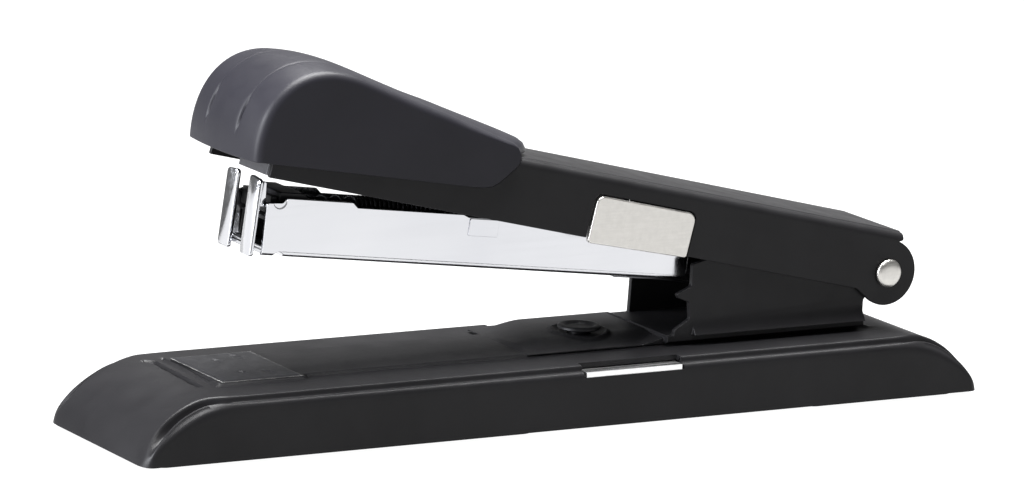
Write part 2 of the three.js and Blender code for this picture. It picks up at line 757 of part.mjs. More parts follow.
function makeArmSpring(group) {
  const under = ARM.top - ARM.wall - GAP - 0.3;
  const path = [
    [-28, under],
    [-46, under],
    [-62, under - 1.8],
    [-82, under - 7],
    [-96, under - 9.8],
    [-101, under - 9.6],
  ];
  add(group, "arm_return_spring", leaf(path, 4, 0.5), springSteel);
  const ceiling = ARM.top - ARM.wall - GAP;
  const { halfWidth, slotHalfWidth, floor, thickness, rear, front } = CLIP;
  const clip = cut(
    box(-halfWidth, halfWidth, -front, -rear, floor, ceiling),
    box(-slotHalfWidth, slotHalfWidth, -front - 1, -rear + 1, floor + thickness, ceiling + 1),
  );
  add(group, "arm_spring_clip", clip, blackened);
}

// ---- assembly ----
const stapler = new THREE.Group();
const standing = new THREE.Group();
standing.position.z = FOOT_HEIGHT;
stapler.add(standing);
makeBase(standing);
makeStiffener(standing);
makeAnvil(standing);
makeBracket(standing);
makeHingePin(standing);

const magazine = onPin(MAGAZINE_TILT);
stapler.add(magazine);
makeSleeve(magazine);
makeLiner(magazine);
makeRail(magazine);
makePusher(magazine);
makePusherSpring(magazine);
makeLiftSpring(magazine);

const arm = onPin(ARM_TILT);
stapler.add(arm);
makeArm(arm);
makeCap(arm);
makeDriver(arm);
makeArmSpring(arm);

export default stapler;
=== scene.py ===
"""Looks for a full-strip desk stapler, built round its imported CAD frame.

Lengths are millimetres here, and MM turns them into metres when a mesh is made. The nose points
along -Y and +X is the stapler's left side. A piece that turns about the hinge pin is drawn in a
frame that sits on the pin: s runs forward along the piece, and t is the height above the pin.
"""

import json
from math import acos, asin, atan2, cos, hypot, pi, radians, sin, sqrt, tan

import bmesh
import bpy
from mathutils import Matrix, Vector


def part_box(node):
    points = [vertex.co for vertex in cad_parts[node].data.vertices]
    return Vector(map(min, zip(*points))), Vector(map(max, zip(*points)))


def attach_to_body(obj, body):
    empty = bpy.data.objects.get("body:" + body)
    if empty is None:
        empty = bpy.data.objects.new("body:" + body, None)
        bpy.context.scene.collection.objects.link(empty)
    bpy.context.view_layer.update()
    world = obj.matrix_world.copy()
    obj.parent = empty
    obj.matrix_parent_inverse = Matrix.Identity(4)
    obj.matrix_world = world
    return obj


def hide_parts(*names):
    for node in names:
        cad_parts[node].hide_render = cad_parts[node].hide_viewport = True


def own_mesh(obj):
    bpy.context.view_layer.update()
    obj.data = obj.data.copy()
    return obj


MM = 0.001

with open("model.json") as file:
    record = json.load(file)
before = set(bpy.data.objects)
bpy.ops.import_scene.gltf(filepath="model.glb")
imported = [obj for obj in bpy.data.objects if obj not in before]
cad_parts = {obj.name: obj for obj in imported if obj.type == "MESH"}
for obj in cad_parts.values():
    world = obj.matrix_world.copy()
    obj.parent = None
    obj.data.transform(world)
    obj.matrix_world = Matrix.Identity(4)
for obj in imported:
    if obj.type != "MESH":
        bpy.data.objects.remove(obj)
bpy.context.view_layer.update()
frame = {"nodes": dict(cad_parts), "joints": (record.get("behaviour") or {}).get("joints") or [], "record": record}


# ---- places that come from the frame ----
def node_box(node):
    low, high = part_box(node)
    return low / MM, high / MM


def joint_place(name):
    joint = next(j for j in frame["joints"] if j["name"] == name)
    return Vector(joint["pos_m"]) / MM


BASE_LOW, BASE_HIGH = node_box("base_shell")
PIN = joint_place("arm_pivot")
MAGAZINE_TILT = radians(7)
ARM_TILT = radians(13.15)

ON_BASE = Matrix.Translation((0, 0, BASE_LOW.z))


def on_pin(tilt):
    return Matrix.Translation(PIN) @ Matrix.Rotation(-tilt, 4, "X")


ON_MAGAZINE = on_pin(MAGAZINE_TILT)
ON_ARM = on_pin(ARM_TILT)


# ---- small sums ----
def smooth(low, high, value):
    share = min(1.0, max(0.0, (value - low) / (high - low)))
    return share * share * (3 - 2 * share)


def mix(a, b, share):
    return a + (b - a) * share


def spread(start, end, count):
    return [mix(start, end, i / count) for i in range(count + 1)]


def rounded(corners, step=radians(9)):
    """A closed outline from (u, v, radius) corners: each corner is turned in an arc of that radius."""
    points = []
    count = len(corners)
    for i, (u, v, radius) in enumerate(corners):
        here = Vector((u, v))
        if radius <= 0:
            points.append(here)
            continue
        to_last = (Vector(corners[i - 1][:2]) - here).normalized()
        to_next = (Vector(corners[(i + 1) % count][:2]) - here).normalized()
        half = acos(max(-1.0, min(1.0, to_last.dot(to_next)))) / 2
        middle = here + (to_last + to_next).normalized() * (radius / sin(half))
        first = here + to_last * (radius / tan(half)) - middle
        last = here + to_next * (radius / tan(half)) - middle
        begin = atan2(first.y, first.x)
        turn = (atan2(last.y, last.x) - begin + pi) % (2 * pi) - pi
        steps = max(2, round(abs(turn) / step))
        for k in range(steps + 1):
            angle = begin + turn * k / steps
            points.append(middle + Vector((cos(angle), sin(angle))) * radius)
    return points


def arc(centre, radius, start, end, count):
    """Points on a circle, as (u, v, 0) corners, from one angle in degrees to another."""
    angles = spread(radians(start), radians(end), count)
    return [(centre[0] + radius * cos(a), centre[1] + radius * sin(a), 0) for a in angles]


# ---- meshes ----
def mesh_object(name, points, faces, place):
    mesh = bpy.data.meshes.new(name)
    mesh.from_pydata([place @ Vector(p) * MM for p in points], [], faces)
    obj = bpy.data.objects.new(name, mesh)
    bpy.context.collection.objects.link(obj)
    return obj


def outward(obj):
    """Turns every face outwards and joins points that coincide."""
    work = bmesh.new()
    work.from_mesh(obj.data)
    bmesh.ops.remove_doubles(work, verts=work.verts, dist=0.002 * MM)
    bmesh.ops.recalc_face_normals(work, faces=work.faces)
    work.to_mesh(obj.data)
    work.free()
    return obj


def from_side(u, v, depth):
    """Places an outline drawn in side view: u runs forward and v up."""
    return depth, -u, v


def from_front(u, v, depth):
    """Places a cross-section: u runs across, v up, and the depth forward."""
    return u, -depth, v


def from_above(u, v, depth):
    return u, v, depth


def prism(name, outline, start, end, way, place):
    """An outline made solid. way is from_side, from_front or from_above."""
    count = len(outline)
    points = [way(p[0], p[1], depth) for depth in (start, end) for p in outline]
    faces = [tuple(range(count)), tuple(range(2 * count - 1, count - 1, -1))]
    faces += [(i, (i + 1) % count, (i + 1) % count + count, i + count) for i in range(count)]
    return outward(mesh_object(name, points, faces, place))


def block(name, x0, x1, y0, y1, z0, z1, place):
    return prism(name, [(x0, y0), (x1, y0), (x1, y1), (x0, y1)], z0, z1, from_above, place)


def lathe(name, profile, place, segments=48, axis="X"):
    """A profile of (radius, distance) turned round an axis through the origin of place."""
    points = []
    for radius, distance in profile:
        for k in range(segments):
            a = 2 * pi * k / segments
            ring = (radius * cos(a), radius * sin(a))
            points.append((distance, *ring) if axis == "X" else (*ring, distance))
    faces = []
    for i in range(len(profile) - 1):
        for k in range(segments):
            a, b = i * segments + k, i * segments + (k + 1) % segments
            faces.append((a, b, b + segments, a + segments))
    faces.append(tuple(range(segments)))
    last = (len(profile) - 1) * segments
    faces.append(tuple(range(last, last + segments)))
    return outward(mesh_object(name, points, faces, place))


def tube(name, path, radius, place, segments=10):
    """A round wire along a list of points."""
    points, faces = [], []
    side = Vector((1, 0, 0))
    for i, here in enumerate(path):
        along = (path[min(i + 1, len(path) - 1)] - path[max(i - 1, 0)]).normalized()
        side = (side - along * side.dot(along)).normalized()
        up = along.cross(side)
        for k in range(segments):
            a = 2 * pi * k / segments
            points.append(here + (side * cos(a) + up * sin(a)) * radius)
    for i in range(len(path) - 1):
        for k in range(segments):
            a, b = i * segments + k, i * segments + (k + 1) % segments
            faces.append((a, b, b + segments, a + segments))
    last = (len(path) - 1) * segments
    faces += [tuple(range(segments)), tuple(range(last, last + segments))]
    return outward(mesh_object(name, points, faces, place))


def apply_modifiers(obj):
    bpy.context.view_layer.update()
    graph = bpy.context.evaluated_depsgraph_get()
    mesh = bpy.data.meshes.new_from_object(obj.evaluated_get(graph))
    obj.modifiers.clear()
    obj.data = mesh


def combine(obj, operation, others):
    """Cuts the others out of obj, or joins them to it, and removes them."""
    for other in others:
        step = obj.modifiers.new(operation, "BOOLEAN")
        step.operation = operation
        step.solver = "EXACT"
        step.object = other
    apply_modifiers(obj)
    for other in others:
        bpy.data.objects.remove(other)
    return obj


def tidy_mesh(obj):
    """Drops the slivers a cut leaves, so that a soft edge doesn't spike there."""
    work = bmesh.new()
    work.from_mesh(obj.data)
    bmesh.ops.remove_doubles(work, verts=work.verts, dist=0.02 * MM)
    bmesh.ops.dissolve_degenerate(work, edges=work.edges, dist=0.01 * MM)
    work.to_mesh(obj.data)
    work.free()
    return obj


def carve(obj, *cutters):
    return combine(obj, "DIFFERENCE", cutters)


def fuse(obj, *others):
    return combine(obj, "UNION", others)


def keep_within(obj, other):
    return combine(obj, "INTERSECT", [other])


def attach(obj, *others):
    """Adds closed bodies that already pass into obj to its mesh."""
    work = bmesh.new()
    for part in (obj, *others):
        work.from_mesh(part.data)
    work.to_mesh(obj.data)
    work.free()
    for other in others:
        bpy.data.objects.remove(other)
    return smooth_faces(obj)


def soften(obj, width, segments=3, angle=32):
    """Rounds the sharp edges, as a press or a mould leaves them."""
    tidy_mesh(obj)
    bevel = obj.modifiers.new("soft edges", "BEVEL")
    bevel.width = width * MM
    bevel.segments = segments
    bevel.limit_method = "ANGLE"
    bevel.angle_limit = radians(angle)
    bevel.use_clamp_overlap = False
    bevel.loop_slide = False
    bevel.harden_normals = True
    return smooth_faces(obj)


def smooth_faces(obj, angle=40):
    obj.data.shade_smooth()
    obj.data.set_sharp_from_angle(angle=radians(angle))
    return obj


def grid_faces(rows, columns, skip=None):
    """The four-sided faces of a grid of points, less those for which skip(row, column) is true."""
    faces = []
    for i in range(rows - 1):
        for j in range(columns - 1):
            if not (skip and skip(i, j)):
                a = i * columns + j
                faces.append((a, a + 1, a + 1 + columns, a + columns))
    return faces


def finish_piece(obj, body, slot, material, *nodes):
    obj.data.materials.clear()
    obj.data.materials.append(material)
    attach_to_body(obj, body)
    if nodes:
        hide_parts(*nodes)
    return obj


# ---- materials ----
class Shader:
    """A Principled material with a few procedural layers, built step by step."""

    def __init__(self, name, **values):
        self.material = bpy.data.materials.new(name)
        self.material.use_nodes = True
        self.tree = self.material.node_tree
        self.surface = self.tree.nodes["Principled BSDF"]
        self.place = self.tree.nodes.new("ShaderNodeTexCoord").outputs["Object"]
        for socket, value in values.items():
            self.surface.inputs[socket.replace("_", " ")].default_value = value

    def node(self, kind, **values):
        made = self.tree.nodes.new("ShaderNode" + kind)
        for key, value in values.items():
            setattr(made, key, value)
        return made

    def link(self, source, target):
        self.tree.links.new(source, target)

    def noise(self, scale, detail=4.0, rough=0.55, stretch=(1, 1, 1)):
        """Noise whose scale is in features per metre."""
        mapping = self.node("Mapping")
        mapping.inputs["Scale"].default_value = stretch
        self.link(self.place, mapping.inputs["Vector"])
        noise = self.node("TexNoise")
        noise.inputs["Scale"].default_value = scale
        noise.inputs["Detail"].default_value = detail
        noise.inputs["Roughness"].default_value = rough
        self.link(mapping.outputs["Vector"], noise.inputs["Vector"])
        return noise.outputs["Fac"]

    def ramp(self, source, stops):
        """A colour ramp from (place, grey or colour) stops."""
        ramp = self.node("ValToRGB")
        points = ramp.color_ramp.elements
        while len(points) < len(stops):
            points.new(0.5)
        for point, (place, value) in zip(points, stops):
            point.position = place
            point.color = (*value, 1) if isinstance(value, tuple) else (value, value, value, 1)
        self.link(source, ramp.inputs["Fac"])
        return ramp.outputs["Color"]

    def rubbed_and_highlit_edges(self, width, low, high):
        """1 on convex edges about width millimetres wide, and 0 elsewhere: the mask for rubbed wear that also
        serves as a painted edge highlight.
        """
        bevel = self.node("Bevel", samples=6)
        bevel.inputs["Radius"].default_value = width * MM
        geometry = self.node("NewGeometry")
        turn = self.node("VectorMath", operation="DOT_PRODUCT")
        self.link(bevel.outputs["Normal"], turn.inputs[0])
        self.link(geometry.outputs["Normal"], turn.inputs[1])
        return self.ramp(turn.outputs["Value"], [(low, 1.0), (high, 0.0)])

    def blend(self, share, first, second):
        mixer = self.node("Mix", data_type="RGBA")
        for socket, value in ((6, first), (7, second)):
            if isinstance(value, tuple):
                mixer.inputs[socket].default_value = (*value, 1)
            else:
                self.link(value, mixer.inputs[socket])
        self.link(share, mixer.inputs["Factor"])
        return mixer.outputs[2]

    def colour(self, source):
        self.link(source, self.surface.inputs["Base Color"])
        return self

    def roughness(self, source):
        self.link(source, self.surface.inputs["Roughness"])
        return self

    def bump(self, *layers):
        """Bump from (height source, depth in millimetres) layers."""
        normal = None
        for source, depth in layers:
            bump = self.node("Bump")
            bump.inputs["Strength"].default_value = 1.0
            bump.inputs["Distance"].default_value = depth * MM
            self.link(source, bump.inputs["Height"])
            if normal:
                self.link(normal, bump.inputs["Normal"])
            normal = bump.outputs["Normal"]
        self.link(normal, self.surface.inputs["Normal"])
        return self


def painted_steel():
    """Baked satin enamel: near black, with a faint orange peel."""
    shader = Shader("black_enamel", Metallic=0.0, IOR=1.5, Specular_IOR_Level=0.15)
    patches = shader.noise(38, 5)
    shader.colour(shader.ramp(patches, [(0.3, (0.006, 0.0058, 0.0064)), (0.7, (0.0092, 0.009, 0.0098))]))
    shader.roughness(shader.ramp(shader.noise(160, 4), [(0.3, 0.36), (0.7, 0.46)]))
    return shader.bump((shader.noise(1100, 2), 0.012), (shader.noise(5200, 2), 0.004)).material


def cap_plastic():
    """Moulded charcoal plastic with a fine spark-eroded grain."""
    shader = Shader("charcoal_plastic", Metallic=0.0, IOR=1.48, Specular_IOR_Level=0.18)
    tint = shader.ramp(
        shader.noise(30, 4), [(0.3, (0.0092, 0.009, 0.0118)), (0.7, (0.012, 0.0116, 0.0152))]
    )
    shader.colour(tint)
    shader.roughness(shader.ramp(shader.noise(220, 4), [(0.3, 0.42), (0.7, 0.52)]))
    return shader.bump((shader.noise(3600, 3), 0.02)).material


def chrome_plate():
    """Bright plate over pressed steel: faint waves, fine scratches along the length."""
    shader = Shader("chrome", Metallic=1.0)
    tint = shader.ramp(shader.noise(25, 3), [(0.3, (0.55, 0.555, 0.58)), (0.7, (0.60, 0.605, 0.625))])
    shader.colour(tint)
    scratches = shader.noise(900, 3, 0.6, (1, 0.03, 1))
    shader.roughness(shader.ramp(scratches, [(0.35, 0.10), (0.75, 0.24)]))
    return shader.bump((shader.noise(55, 3), 0.05), (scratches, 0.0015)).material


def nickel_plate(name="nickel", low=0.28, high=0.42, warm=(0.64, 0.625, 0.595)):
    """Satin nickel with a brushed grain, a little mottled."""
    shader = Shader(name, Metallic=1.0)
    grain = shader.noise(1500, 3, 0.6, (1, 0.04, 1))
    tint = shader.ramp(grain, [(0.3, tuple(c * 0.86 for c in warm)), (0.7, warm)])
    mottle = shader.ramp(shader.noise(650, 5, 0.7), [(0.35, 0.0), (0.75, 0.55)])
    shader.colour(shader.blend(mottle, tint, tuple(c * 0.72 for c in warm)))
    shader.roughness(shader.ramp(grain, [(0.3, low), (0.7, high)]))
    return shader.bump((grain, 0.003), (shader.noise(90, 3), 0.04)).material


def dark_steel():
    """Oil-blackened steel."""
    shader = Shader("blackened_steel", Metallic=0.6)
    tint = shader.ramp(shader.noise(120, 4), [(0.3, (0.006, 0.006, 0.007)), (0.7, (0.014, 0.014, 0.015))])
    shader.colour(tint)
    shader.roughness(shader.ramp(shader.noise(300, 3), [(0.3, 0.35), (0.7, 0.5)]))
    return shader.bump((shader.noise(1800, 2), 0.006)).material


def rubbed_highlit_anvil():
    """Black plate, rubbed bright on its raised edges where staples are bent; the light edge colour is also a
    painted highlight along those edges.
    """
    shader = Shader("anvil_plate_wear_and_highlight", Metallic=0.35)
    rubbed_edge_highlight = shader.rubbed_and_highlit_edges(0.3, 0.7, 0.96)
    patches = shader.ramp(shader.noise(260, 4), [(0.35, 0.0), (0.65, 1.0)])
    rubbed_highlight_share = shader.node("Math", operation="MULTIPLY")
    shader.link(rubbed_edge_highlight, rubbed_highlight_share.inputs[0])
    shader.link(patches, rubbed_highlight_share.inputs[1])
    # Convex edges, in patches, turn light grey: partly rubbed metal and partly a painted highlight.
    shader.colour(shader.blend(rubbed_highlight_share.outputs["Value"], (0.012, 0.012, 0.014), (0.55, 0.54, 0.52)))
    shader.roughness(shader.ramp(shader.noise(400, 3), [(0.3, 0.3), (0.7, 0.42)]))
    return shader.bump((shader.noise(1500, 2), 0.008)).material


def pad_rubber():
    """Matt black rubber."""
    shader = Shader("rubber", Metallic=0.0, IOR=1.5)
    shader.colour(shader.ramp(shader.noise(400, 4), [(0.3, 0.008), (0.7, 0.016)]))
    shader.roughness(shader.ramp(shader.noise(800, 3), [(0.3, 0.7), (0.7, 0.9)]))
    return shader.bump((shader.noise(2500, 3), 0.03)).material


MATERIALS = {
    "black_paint": painted_steel(),
    "cap_plastic": cap_plastic(),
    "chrome_plate": chrome_plate(),
    "nickel_plate": nickel_plate(),
    "zinc_plate": nickel_plate("zinc", 0.2, 0.35, (0.86, 0.86, 0.86)),
    "anvil_steel": rubbed_highlit_anvil(),
    "spring_steel": nickel_plate("spring_steel", 0.3, 0.45, (0.13, 0.13, 0.14)),
    "blackened_steel": dark_steel(),
    "pad_rubber": pad_rubber(),
}
BODY_OF = {node: body for body, nodes in frame["record"]["behaviour"]["bodies"].items() for node in nodes}
SLOT_OF = {part["node"]: part["material_slot"] for part in frame["record"]["subparts"]}


def stand_for(obj, node, *more):
    """Finishes a piece that replaces a CAD node: the same body, and the material of the node's slot."""
    slot = SLOT_OF[node]
    return finish_piece(obj, BODY_OF[node], slot, MATERIALS[slot], node, *more)


# ---- base ----
class Arch:
    """The base's side view: a flat top whose ends fall away in round arcs to the bottom edge."""

    top = BASE_HIGH.z - BASE_LOW.z - 0.6
    radius = 20.3
    half_length = BASE_HIGH.y
    drop = radius - top
    flat_end = half_length - sqrt(radius * radius - drop * drop)

    @classmethod
    def point(cls, station, inset):
        """(y, z) of a station, set inwards. A station is -1 to 1 on the flat, and 1 to 2 on an arc."""
        along = abs(station)
        sign = 1 if station > 0 else -1
        if along <= 1:
            return station * cls.flat_end, cls.top - inset
        radius = cls.radius - inset
        low = asin(min(1.0, cls.drop / radius))
        angle = mix(pi / 2, low, along - 1)
        return sign * (cls.flat_end + radius * cos(angle)), radius * sin(angle) - cls.drop


# Cross-sections of the base's edge as (x, inset) pairs: on the straight, round the ends, at the foot.
STRAIGHT_EDGE = [
    (18.6, 0), (19.2, 0), (19.7, 0), (20.1, 0.05), (20.38, 0.2), (20.5, 0.48), (20.56, 0.85),
    (20.66, 1.15), (20.82, 1.28), (21.0, 1.26), (21.2, 1.3), (21.5, 1.46), (21.75, 1.72),
    (21.92, 2.05), (22, 2.45),
]  # fmt: skip
ROUND_EDGE = [
    (17.3, 0), (17.8, -0.04), (18.2, 0.0), (18.45, 0.25), (18.6, 0.8), (18.78, 1.7), (19.1, 2.3),
    (19.5, 2.35), (19.85, 1.9), (20.1, 1.2), (20.35, 0.86), (20.75, 0.95), (21.05, 1.5),
    (21.5, 1.7), (21.95, 2.5),
]  # fmt: skip
FOOT_EDGE = [
    (18.2, 0), (18.8, 0), (19.4, 0), (19.9, 0.02), (20.3, 0.04), (20.6, 0.08), (20.85, 0.13),
    (21.05, 0.2), (21.25, 0.28), (21.45, 0.38), (21.6, 0.5), (21.75, 0.65), (21.87, 0.85),
    (21.95, 1.1), (22, 1.5),
]  # fmt: skip
PLATEAU = {"half_width": 10.4, "front": -79.6, "rear": 79.0, "height": 0.6, "wider": 1.7, "wide_to": -59}
NOTCH = {"front": 1.2, "rear": 25.3, "inner": 18.4, "bottom": 10.2, "stud_hole": 3.4}
CORNER = {"radius": 2.4, "inner": 15}
SHEET = 1.1


def base_stations():
    """Rows along the base, closest where the front end is stamped."""
    front_arc = spread(-2.0, -1.8, 10) + spread(-1.8, -1.3, 11)[1:] + spread(-1.3, -1.0, 22)[1:]
    front_flat = spread(-1.0, -0.7, 60)[1:]
    middle = spread(-0.7, 0.94, 34)[1:]
    rear_flat = spread(0.94, 1.0, 4)[1:]
    rear_arc = spread(1.0, 1.8, 14)[1:] + spread(1.8, 2.0, 10)[1:]
    notch_ends = [NOTCH["front"] / Arch.flat_end, NOTCH["rear"] / Arch.flat_end]
    return sorted(front_arc + front_flat + middle + rear_flat + rear_arc + notch_ends)


def edge_section(station):
    """The base's edge section at a station, part way between the three drawn ones."""
    beyond = abs(station) - 1
    turning = smooth(-0.1, 0.3, beyond)
    section = []
    for (x0, d0), (x1, d1), (x2, d2) in zip(STRAIGHT_EDGE, ROUND_EDGE, FOOT_EDGE):
        # The groove runs on further down than the lip outside it.
        on_lip = smooth(19.8, 20.6, x1)
        closing = mix(smooth(0.62, 0.93, beyond), smooth(0.4, 0.93, beyond), on_lip)
        x, d = mix(x0, x1, turning), mix(d0, d1, turning)
        section.append((mix(x, x2, closing), mix(d, d2, closing)))
    return section


# Lines pressed into the front of the top: (x, y) points, half width and depth.
STAMPED_LINES = [
    ([(10.4, -82.3), (-12.6, -81.1), (-13.8, -82.4)], 0.8, 0.9),
    ([(8.6, -78.4), (-14.6, -77.9)], 0.55, 0.7),
]
STAMPED = {"rear": -55, "half_width": 17, "floor": 2}


def distance_to(line, x, y):
    """The distance from (x, y) to the nearest point of a broken line."""
    nearest = 1e9
    for (x0, y0), (x1, y1) in zip(line, line[1:]):
        dx, dy = x1 - x0, y1 - y0
        along = min(1.0, max(0.0, ((x - x0) * dx + (y - y0) * dy) / (dx * dx + dy * dy)))
        nearest = min(nearest, hypot(x - x0 - along * dx, y - y0 - along * dy))
    return nearest


def stamped(x, y):
    """How far the top lies below the plain arch at (x, y); the plateau counts as negative."""
    depth = 0.0
    if y < STAMPED["rear"]:
        for line, half_width, deepest in STAMPED_LINES:
            near = 1 - smooth(half_width * 0.35, half_width, distance_to(line, x, y))
            depth = max(depth, deepest * near)
    wide_to, narrow = PLATEAU["wide_to"], PLATEAU["half_width"]
    half_width = mix(narrow + PLATEAU["wider"], narrow, smooth(wide_to, wide_to + 1, y))
    inside = 1 - smooth(half_width - 0.5, half_width + 0.3, abs(x))
    inside *= smooth(PLATEAU["front"], PLATEAU["front"] + 1.2, y)
    inside *= 1 - smooth(PLATEAU["rear"] - 1.2, PLATEAU["rear"], y)
    return depth - PLATEAU["height"] * inside


def corner_squeeze(x, y):
    """x drawn in where the base's plan is rounded at its four corners."""
    radius, inner = CORNER["radius"], CORNER["inner"]
    over = abs(y) - (Arch.half_length - radius)
    if over <= 0 or abs(x) < inner:
        return x
    reach = BASE_HIGH.x - radius + sqrt(max(0.0, radius**2 - over**2))
    share = (abs(x) - inner) / (BASE_HIGH.x - inner)
    return (inner + share * (reach - inner)) * (1 if x > 0 else -1)


TOP_COLUMNS = [0.0, 1.2, 2.4, 3.6, 4.8, 6.0, 7.2, 8.2, 9.0, 9.6, 9.9, 10.15, 10.4, 10.65, 11.0, 11.3, 11.6,
               11.9, 12.4, 13.0, 13.6, 14.2, 14.6, 15.0, 15.4, 15.9, 16.5]  # fmt: skip
WALL_STEPS = 8


def near_half(station):
    """A row of points from the middle of the top out to the near side's bottom edge."""
    row = []
    for x, inset in [(x, 0.0) for x in TOP_COLUMNS] + edge_section(station):
        flat_y, _ = Arch.point(station, inset)
        y, z = Arch.point(station, inset + stamped(x, flat_y))
        row.append((corner_squeeze(x, y), y, max(0.0, z)))
    x, y, z = row[-1]
    return row + [(x, y, z * (1 - k / WALL_STEPS)) for k in range(1, WALL_STEPS + 1)]


def far_point(station, x, y, z):
    """A near point carried over to the far side, which has stamping of its own."""
    if y < STAMPED["rear"] and x < STAMPED["half_width"] and z > STAMPED["floor"]:
        flat_y, _ = Arch.point(station, 0)
        y, z = Arch.point(station, stamped(-x, flat_y))
    return -x, y, max(0.0, z)


def base_sheet():
    """The pressed sheet's outer face, open at the two side notches and at the stud's hole."""
    rows = []
    for station in base_stations():
        near = near_half(station)
        rows.append([far_point(station, *point) for point in near[:0:-1]] + near)
    stud_low, stud_high = node_box("anvil_stud")
    stud_y = (stud_low.y + stud_high.y) / 2

    def is_open(i, j):
        x, y, z = (Vector(rows[i][j]) + Vector(rows[i + 1][j + 1])) / 2
        beside = NOTCH["front"] < y < NOTCH["rear"] and abs(x) > NOTCH["inner"]
        return (beside and z > NOTCH["bottom"]) or hypot(x, y - stud_y) < NOTCH["stud_hole"]

    points = [point for row in rows for point in row]
    return points, grid_faces(len(rows), len(rows[0]), is_open)


def make_base():
    points, faces = base_sheet()
    base = mesh_object("base_pressing", points, faces, ON_BASE)
    shell = base.modifiers.new("sheet", "SOLIDIFY")
    shell.thickness = SHEET * MM
    shell.offset = -1
    apply_modifiers(base)
    smooth_faces(base, 45)
    stand_for(base, "base_shell")


def pressed_sheet(name, columns, rows, height, under, place):
    """A solid with a flat underside whose top follows height(x, y)."""
    points = [(x, y, height(x, y)) for y in rows for x in columns]
    top = len(points)
    points += [(x, y, under) for y in rows for x in columns]
    wide, deep = len(columns), len(rows)
    faces = grid_faces(deep, wide)
    faces += [tuple(top + i for i in reversed(face)) for face in faces]
    rim = list(range(wide)) + [i * wide + wide - 1 for i in range(1, deep)]
    rim += [(deep - 1) * wide + j for j in range(wide - 2, -1, -1)]
    rim += [i * wide for i in range(deep - 2, 0, -1)]
    faces += [(b, a, a + top, b + top) for a, b in zip(rim, rim[1:] + rim[:1])]
    return outward(mesh_object(name, points, faces, place))


# ---- anvil ----
ANVIL = {"top": 13.9, "under": 13.63, "pocket": 0.2, "rim_drop": 0.2, "rim": 0.9}
# Pockets as (x, y, half length, half width), from the middle of the plate.
ANVIL_POCKETS = [(-5.6, -1.6, 1.9, 1.1), (5.6, -1.6, 1.9, 1.1), (-7.4, 3.6, 3.0, 1.3), (7.4, 3.6, 3.0, 1.3)]
ANVIL_LOW, ANVIL_HIGH = node_box("anvil_plate")
ANVIL_HALF_X = ANVIL_HIGH.x
ANVIL_HALF_Y = (ANVIL_HIGH.y - ANVIL_LOW.y) / 2


def anvil_height(x, y):
    depth = 0.0
    for px, py, length, width in ANVIL_POCKETS:
        away = hypot((x - px) / length, (y - py) / width)
        depth = max(depth, ANVIL["pocket"] * (1 - smooth(0.45, 1.0, away)))
    from_rim = min(ANVIL_HALF_X - abs(x), ANVIL_HALF_Y - abs(y))
    return ANVIL["top"] - depth - ANVIL["rim_drop"] * (1 - smooth(0, ANVIL["rim"], from_rim))


def make_anvil():
    place = ON_BASE @ Matrix.Translation((0, (ANVIL_LOW.y + ANVIL_HIGH.y) / 2, 0))
    columns = spread(-ANVIL_HALF_X, ANVIL_HALF_X, 96)
    rows = spread(-ANVIL_HALF_Y, ANVIL_HALF_Y, 76)
    plate = pressed_sheet("anvil_pressing", columns, rows, anvil_height, ANVIL["under"], place)
    stand_for(smooth_faces(plate, 50), "anvil_plate")
    head = [(0.01, 5.3), (4.6, 5.2), (5, 5.6), (5, 7.2), (4.6, 7.6), (2.2, 7.6), (2.2, 13.6), (0.01, 13.6)]
    stud = smooth_faces(lathe("anvil_stud_turned", head, place, axis="Z"), 35)
    stand_for(stud, "anvil_stud")


# ---- bracket ----
WALL = {"inner": 10.8, "outer": 12, "rear": -75.6, "bend_front": -33}
BRACKET_FLOOR = {"front": 27, "rear": 76, "bottom": 13.9, "top": 15.4}
BORE = 2.4
# The front edges of the two side walls, as (s, t) corners with a radius each.
NEAR_WALL_FRONT = [
    (-28.9, 24.2, 0.35), (-29.2, 23.3, 0.35), (-31.9, 22.2, 0.6), (-32.3, 18.6, 0.7), (-28.6, 16.4, 0.5),
    (-28.6, 14.2, 0),
]  # fmt: skip
FAR_WALL_FRONT = [(-31.6, 24, 0.8), (-31.2, 14.2, 0)]


def bracket_side(front):
    """A side wall's outline as (s, t) corners with a radius each, in the base's own heights."""
    pin_s, pin_t = -PIN.y, PIN.z - BASE_LOW.z
    ear = arc((pin_s, pin_t), 6, -118, -288, 22)
    return rounded(
        [
            (WALL["rear"], 14.2, 0),
            (WALL["rear"], 20.4, 1.2),
            *ear,
            (-35.5, 31.1, 3),
            (-32.4, 30.4, 0.8),
            (-32.4, 25.6, 0.8),
            *front,
        ]
    )


TONGUE = {"left": -14.8, "right": 10.6, "front": -6.0, "rear": 28.0, "low": 13.62, "high": 15.1}
RING = {"y": 12.5, "radius": 5.9, "height": 0.6, "dish": 0.35}


def tongue_height(x, y):
    """The bracket's front end: pressed up round its rivet, and run out level with the base's top."""
    left, right, front = TONGUE["left"], TONGUE["right"], TONGUE["front"]
    share = smooth(front, front + 11, y + 0.35 * (x + 10)) * (1 - smooth(2.5, right, x))
    share = max(share, 0.9 * smooth(20, 30, y))
    share *= smooth(left, left + 0.9, x) * smooth(front, front + 1.2, y)
    away = hypot(x, y - RING["y"])
    ring = RING["height"] * (1 - smooth(0.0, 0.75, abs(away - RING["radius"])))
    dish = RING["dish"] * (1 - smooth(4.6, 5.4, away))
    return mix(TONGUE["low"], TONGUE["high"], share) + ring - dish


def vertical_hole(node, radius, bottom, top):
    """A cutter for the hole that a rivet passes through."""
    low, high = node_box(node)
    place = Matrix.Translation((0, (low.y + high.y) / 2, 0))
    return lathe("hole", [(radius, bottom), (radius, top)], place, axis="Z")


